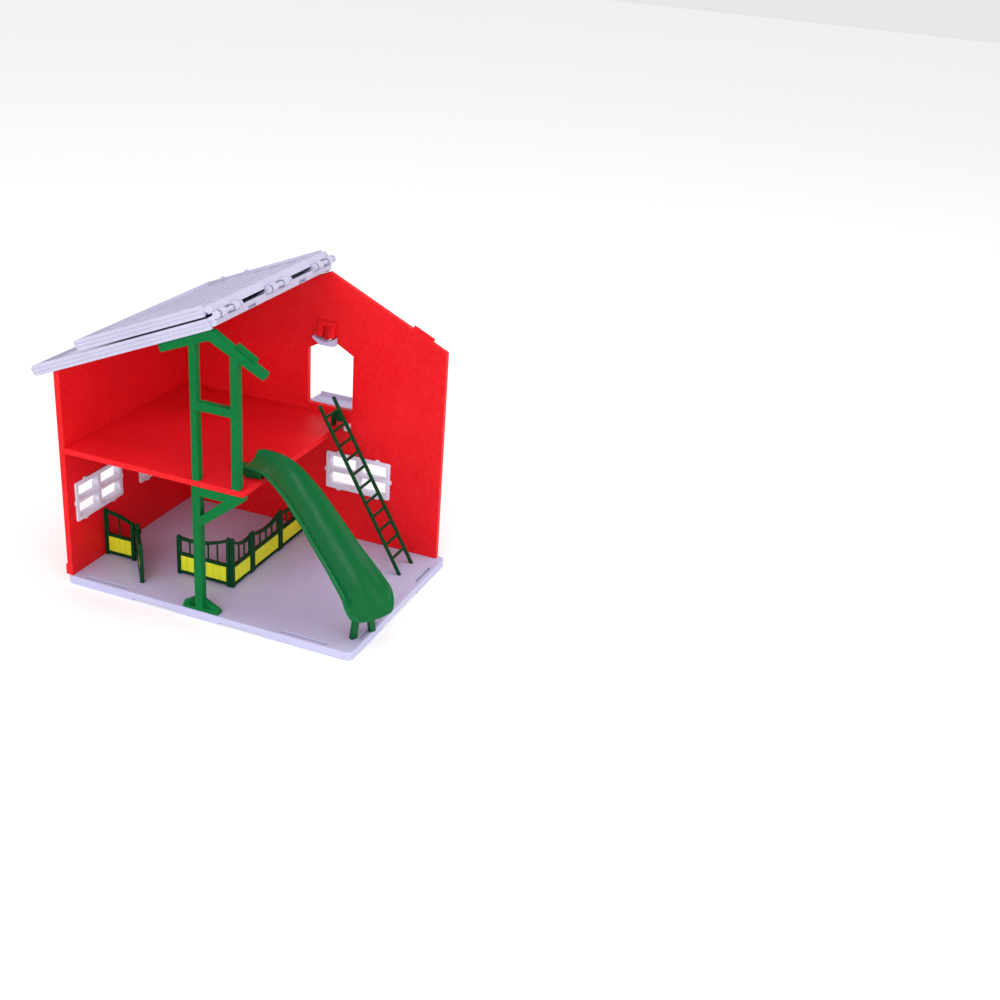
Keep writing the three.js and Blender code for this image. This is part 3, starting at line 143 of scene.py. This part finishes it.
def plastic(name, colour, shade, wear_and_highlight, roughness=0.38, grain=0.06, edge=0.45, specular=0.35, trough_painted_shade=None):
    """Moulded plastic: cloudy colour, flow marks, fine skin grain, scuffs, paler rubbed edges that are partly a
    painted highlight, and painted shade inside a trough where a shade colour is given.
    """
    n = Nodes(name)
    where = n.add("ShaderNodeTexCoord").outputs["Object"]
    cloud = n.noise(where, 16, 3)
    speckle = n.noise(where, 420, 2)
    tint = n.spread(cloud, 0.32, 0.7, 0, 1)
    body = n.blend(tint, shade, colour)
    body = n.blend(n.spread(speckle, 0.35, 0.75, 0, 0.12), body, wear_and_highlight)
    soft = n.add("ShaderNodeBevel", {"Radius": edge * MM}, samples=4).outputs[0]
    flat = n.add("ShaderNodeNewGeometry").outputs["Normal"]
    meet = n.add("ShaderNodeVectorMath", {0: soft, 1: flat}, operation="DOT_PRODUCT").outputs["Value"]
    # Rubbed edges: convex edges turn paler towards the pale colour, partly wear and partly a painted highlight
    # along every edge.
    rubbed_edge_highlight = n.math("MULTIPLY", n.spread(meet, 0.97, 0.8, 0, 0.5), n.spread(cloud, 0.35, 0.65, 0.35, 1))
    body = n.blend(rubbed_edge_highlight, body, wear_and_highlight)
    # Painted shade: where ambient occlusion finds a trough, the base colour darkens towards the given dark
    # colour, standing in for the shade inside the channel.
    if trough_painted_shade:
        trough_occlusion = n.add("ShaderNodeAmbientOcclusion", {"Distance": 14 * MM}, samples=8).outputs["AO"]
        body = n.blend(n.spread(trough_occlusion, 0.95, 0.35, 0, 1), body, trough_painted_shade)
    n.tree.links.new(body, n.shader.inputs["Base Color"])
    stretched = n.add("ShaderNodeMapping", {"Vector": where, "Scale": (1, 0.12, 0.5)}).outputs[0]
    scuffs = n.spread(n.noise(stretched, 900, 4, 0.7), 0.6, 0.72, 0, 0.12)
    gloss = n.spread(n.noise(where, 70, 3), 0.3, 0.7, roughness - 0.05, roughness + 0.07)
    gloss = n.math("ADD", n.math("ADD", gloss, scuffs), n.math("MULTIPLY", rubbed_edge_highlight, 0.12))
    n.tree.links.new(gloss, n.shader.inputs["Roughness"])
    skin = n.noise(where, 2600, 2, 0.6)
    waves = n.noise(where, 55, 1)
    height = n.math("ADD", n.math("MULTIPLY", skin, 0.35), n.math("MULTIPLY", waves, 1.6))
    bump = n.add("ShaderNodeBump", {"Strength": grain, "Distance": 0.4 * MM, "Height": height, "Normal": soft})
    n.tree.links.new(bump.outputs[0], n.shader.inputs["Normal"])
    n.shader.inputs["Specular IOR Level"].default_value = specular
    return n.material


RED = plastic("red_plastic", srgb(230, 17, 28), srgb(214, 14, 24), srgb(246, 80, 84), 0.42, 0.03, specular=0.12)
LAVENDER = plastic("lavender_plastic", srgb(188, 187, 220), srgb(178, 177, 212), srgb(216, 210, 232), 0.44)
ROOF = plastic("roof_plastic", srgb(187, 185, 209), srgb(178, 176, 201), srgb(226, 225, 242), 0.4)
PALE = plastic("window_plastic", srgb(226, 219, 238), srgb(216, 209, 231), srgb(246, 243, 252), 0.4)
GREEN = plastic("green_plastic", srgb(4, 105, 50), srgb(3, 96, 45), srgb(40, 150, 88), 0.34, specular=0.06)
# The slide's last colour is painted shade, laid into the inside of its channel.
SLIDE = plastic("slide_plastic", srgb(2, 94, 46), srgb(2, 90, 44), srgb(24, 120, 66), 0.24, 0.02, specular=0.13,
                trough_painted_shade=srgb(0, 52, 26))
DARK = plastic("dark_green_plastic", srgb(4, 62, 32), srgb(3, 52, 26), srgb(34, 100, 62), 0.34, specular=0.08)
YELLOW = plastic("yellow_plastic", srgb(222, 226, 30), srgb(208, 212, 24), srgb(240, 242, 110), 0.46)


# Softened copies: the CAD mesh with its flat faces made whole and its outer edges rounded
def flat_regions(bm):
    """Connected faces that share a plane."""
    left = set(bm.faces)
    while left:
        seed = left.pop()
        region, open_faces = [seed], [seed]
        while open_faces:
            for edge in open_faces.pop().edges:
                for other in edge.link_faces:
                    if other in left and other.normal.dot(seed.normal) > 0.99999:
                        left.remove(other)
                        region.append(other)
                        open_faces.append(other)
        yield region


def is_simple(region):
    """True where the region's border is one loop that meets no corner twice."""
    trough_occlusion = set(region)
    border = [e for f in region for e in f.edges if sum(g in trough_occlusion for g in e.link_faces) == 1]
    steps = {}
    for edge in border:
        for vert, other in (edge.verts, reversed(edge.verts)):
            steps.setdefault(vert, []).append(other)
    if any(len(ways) != 2 for ways in steps.values()):
        return False
    seen, vert = set(), next(iter(steps))
    while vert is not None:
        seen.add(vert)
        vert = next((w for w in steps[vert] if w not in seen), None)
    return len(seen) == len(steps)


def softened(node, body, material, slot, reshape=None, width=0.35, angle=32):
    mesh = frame["nodes"][node].data.copy()
    mesh.materials.clear()
    mesh.materials.append(material)
    bm = bmesh.new()
    bm.from_mesh(mesh)
    bmesh.ops.remove_doubles(bm, verts=bm.verts, dist=1e-6)
    bmesh.ops.dissolve_degenerate(bm, edges=bm.edges, dist=0.01 * MM)
    bm.normal_update()
    if reshape:
        reshape(bm)
        bm.normal_update()
    for region in list(flat_regions(bm)):
        if len(region) > 1 and is_simple(region):
            bmesh.ops.dissolve_faces(bm, faces=region)
    for face in bm.faces:
        face.smooth = True
    weight = bm.edges.layers.float.new("bevel_weight_edge")
    for edge in bm.edges:
        edge[weight] = float(edge.calc_face_angle_signed(0) > math.radians(angle))
    bm.to_mesh(mesh)
    bm.free()
    piece = bpy.data.objects.new(node + "_skin", mesh)
    bpy.context.scene.collection.objects.link(piece)
    bevel = piece.modifiers.new("edges", "BEVEL")
    bevel.width = width * MM
    bevel.segments = 2
    bevel.limit_method = "WEIGHT"
    bevel.use_clamp_overlap = False
    bevel.loop_slide = False
    weighted = piece.modifiers.new("normals", "WEIGHTED_NORMAL")
    weighted.keep_sharp = True
    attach(piece, body)
    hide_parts(node)
    return piece


# The slide's top end has rounded corners: its sides draw in over a corner radius
SLIDE_CORNER = 5 * MM


def round_slide_top(bm):
    start = min(v.co.x for v in bm.verts if v.co.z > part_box("loft_floor")[1].z + 6 * MM)
    near = [v for v in bm.verts if v.co.x < start + SLIDE_CORNER and v.co.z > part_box("loft_floor")[1].z]
    sides = [v.co.y for v in near if v.co.x > start - 2 * MM]
    middle, half = (min(sides) + max(sides)) / 2, (max(sides) - min(sides)) / 2
    for vert in near:
        along = min(max((vert.co.x - start) / SLIDE_CORNER, 0), 1)
        inset = SLIDE_CORNER * (1 - math.sqrt(1 - (1 - along) ** 2))
        off = vert.co.y - middle
        if abs(off) > half - 2 * SLIDE_CORNER:
            vert.co.y -= math.copysign(inset, off)


# The ladder's hook stands by its right-hand rail only
HOOK_SHARE = 0.5


def narrow_hook(bm):
    low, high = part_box("ladder")
    middle = (low.y + high.y) / 2
    for vert in bm.verts:
        if abs(vert.co.y - middle) < 0.1 * MM:
            vert.co.y += HOOK_SHARE * (high.y - middle)


FINISHES = {
    "base_plate": (LAVENDER, "lavender_plastic"),
    "left_wall": (RED, "red_plastic"),
    "gable_wall": (RED, "red_plastic"),
    "loft_floor": (RED, "red_plastic"),
    "loft_corner_clip": (PALE, "window_plastic"),
    "hoist_bracket": (RED, "red_plastic"),
    "hoist_shoe": (LAVENDER, "lavender_plastic"),
    "loft_door": (LAVENDER, "lavender_plastic"),
    "window_left_front": (PALE, "window_plastic"),
    "window_left_back": (PALE, "window_plastic"),
    "window_gable": (PALE, "window_plastic"),
    "truss_frame": (GREEN, "green_plastic"),
    "loft_post": (GREEN, "green_plastic"),
    "roof_left": (ROOF, "roof_plastic"),
    "roof_right": (ROOF, "roof_plastic"),
    "slide_chute": (SLIDE, "slide_plastic"),
    "slide_leg": (SLIDE, "slide_plastic"),
    "ladder": (DARK, "dark_green_plastic"),
}
# A node's own change of shape, width of its rounded edges and sharpest angle that stays sharp
RESHAPES = {"slide_chute": (round_slide_top, 0.12, 40), "ladder": (narrow_hook, 0.15, 50)}
body_of = {node: body for body, nodes in frame["record"]["behaviour"]["bodies"].items() for node in nodes}

for node, body in body_of.items():
    if node in FINISHES:
        material, slot = FINISHES[node]
    else:
        planks = node.endswith("_planks")
        material, slot = (YELLOW, "yellow_plastic") if planks else (DARK, "dark_green_plastic")
    if node.endswith("_planks"):
        carried = frame["nodes"][node]
        carried.data.materials.clear()
        carried.data.materials.append(material)
    else:
        softened(node, body, material, slot, *RESHAPES.get(node, ()))


# Floor, light and world
def make_stage():
    size = 4.0
    mesh = bpy.data.meshes.new("floor")
    mesh.from_pydata([(-size, -size, 0), (size, -size, 0), (size, size, 0), (-size, size, 0)], [], [(0, 1, 2, 3)])
    floor = bpy.data.objects.new("floor", mesh)
    floor.location.z = cad_box[0].z - 0.02 * MM
    n = Nodes("floor_paper")
    n.shader.inputs["Base Color"].default_value = (0.8, 0.8, 0.8, 1)
    n.shader.inputs["Emission Color"].default_value = (1, 1, 1, 1)
    n.shader.inputs["Emission Strength"].default_value = 0.22
    n.shader.inputs["Roughness"].default_value = 0.9
    n.shader.inputs["Specular IOR Level"].default_value = 0.1
    mesh.materials.append(n.material)
    bpy.context.scene.collection.objects.link(floor)


def area_light(name, place, target, size, power, colour=(1, 1, 1)):
    data = bpy.data.lights.new(name, "AREA")
    data.shape = "SQUARE"
    data.size = size
    data.energy = power
    data.color = colour
    light = bpy.data.objects.new(name, data)
    light.location = place
    aim = Vector(target) - Vector(place)
    light.rotation_euler = aim.to_track_quat("-Z", "Y").to_euler()
    bpy.context.scene.collection.objects.link(light)


def make_light():
    world = bpy.data.worlds.new("studio")
    world.use_nodes = True
    background = world.node_tree.nodes["Background"]
    background.inputs["Color"].default_value = (1, 1, 1, 1)
    background.inputs["Strength"].default_value = 0.8
    bpy.context.scene.world = world
    area_light("key", (0.1, -1.65, 0.9), (0, 0, 0.08), 1.2, 12.5)
    area_light("fill", (1.3, -0.8, 0.35), (0, 0, 0.08), 1.0, 5)
    area_light("top", (0, -0.3, 1.9), (0, 0, 0), 1.2, 6)
    area_light("kicker", (1.05, 0.35, 1.15), (0.05, -0.04, 0.05), 0.6, 4)
    bpy.context.scene.view_settings.view_transform = "Standard"


make_stage()
make_light()
